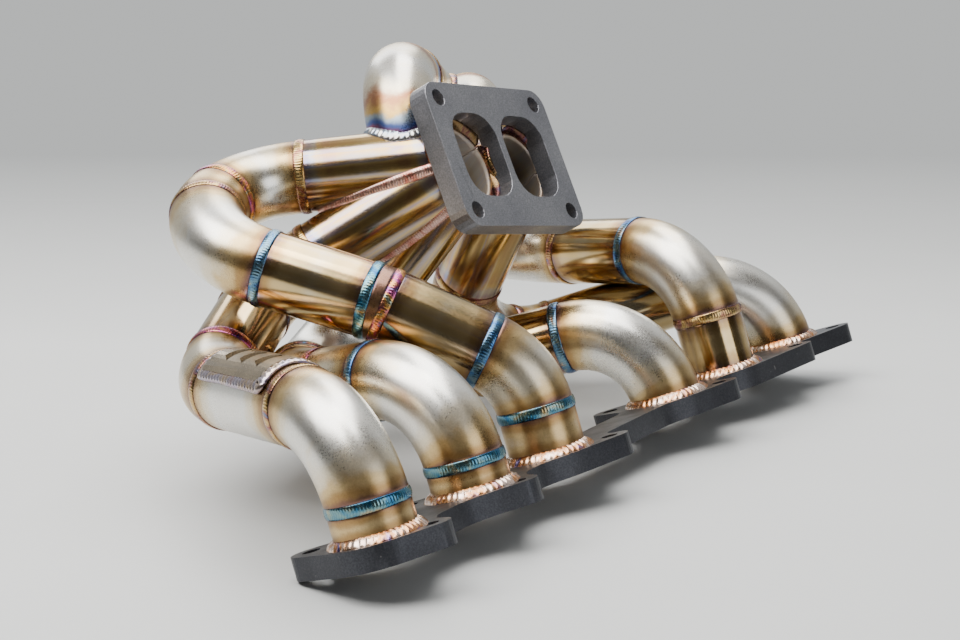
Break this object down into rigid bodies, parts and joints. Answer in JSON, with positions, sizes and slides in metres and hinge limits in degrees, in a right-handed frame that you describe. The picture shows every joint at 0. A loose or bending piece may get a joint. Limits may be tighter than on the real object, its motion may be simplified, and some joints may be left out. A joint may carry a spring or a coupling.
{
  "type": "twin-scroll exhaust manifold",
  "caption": "Welded tubular turbo manifold: steel runners from a flat head flange gather into a divided turbo flange, with a wastegate pipe.",
  "frame": {"origin": "on the head flange's sealing face, on the line of the port centres, midway between the first and the last port", "axes": "+X along the head flange from port 1 to port 6, +Y to the side where the runners turn round, +Z out of the head flange's runner side"},
  "size_m": [0.528, 0.2229, 0.2597],
  "materials": {
    "satin_stainless": "satin",
    "heat_tinted_stainless": "smooth, straw heat tint",
    "dark_plate_steel": "dark, blackened",
    "satin_plate_steel": "satin"
  },
  "bodies": {
    "root": {"collector_elbow_1": "satin_stainless", "collector_elbow_2": "satin_stainless", "collector_elbow_3": "satin_stainless", "collector_elbow_4": "satin_stainless", "collector_elbow_5": "satin_stainless", "collector_elbow_6": "satin_stainless", "collector_leg_1": "satin_stainless", "collector_leg_2": "satin_stainless", "collector_leg_3": "satin_stainless", "collector_leg_4": "satin_stainless", "collector_leg_5": "satin_stainless", "collector_leg_6": "satin_stainless", "head_flange": "dark_plate_steel", "link_1": "satin_stainless", "link_2": "satin_stainless", "link_3": "heat_tinted_stainless", "link_4": "heat_tinted_stainless", "link_5": "heat_tinted_stainless", "link_6": "heat_tinted_stainless", "long_link_1": "heat_tinted_stainless", "long_link_2": "heat_tinted_stainless", "long_link_3": "heat_tinted_stainless", "long_link_4": "heat_tinted_stainless", "name_saddle": "satin_stainless", "port_elbow_1": "satin_stainless", "port_elbow_2": "satin_stainless", "port_elbow_3": "satin_stainless", "port_elbow_4": "satin_stainless", "port_elbow_5": "satin_stainless", "port_elbow_6": "satin_stainless", "rear_elbow_1": "satin_stainless", "rear_elbow_2": "satin_stainless", "rear_elbow_3": "satin_stainless", "rear_elbow_4": "satin_stainless", "rear_elbow_5": "satin_stainless", "rear_elbow_6": "satin_stainless", "rear_wedge_2": "satin_stainless", "rear_wedge_3": "satin_stainless", "rear_wedge_4": "satin_stainless", "stub_1": "satin_stainless", "stub_2": "satin_stainless", "stub_3": "satin_stainless", "stub_5": "heat_tinted_stainless", "turbo_flange": "satin_plate_steel", "wastegate_elbow_left": "satin_stainless", "wastegate_elbow_right": "satin_stainless", "wastegate_pipe_left": "satin_stainless", "wastegate_pipe_right": "satin_stainless", "wastegate_ring": "satin_plate_steel", "wedge_3": "satin_stainless"}
  },
  "joints": []
}
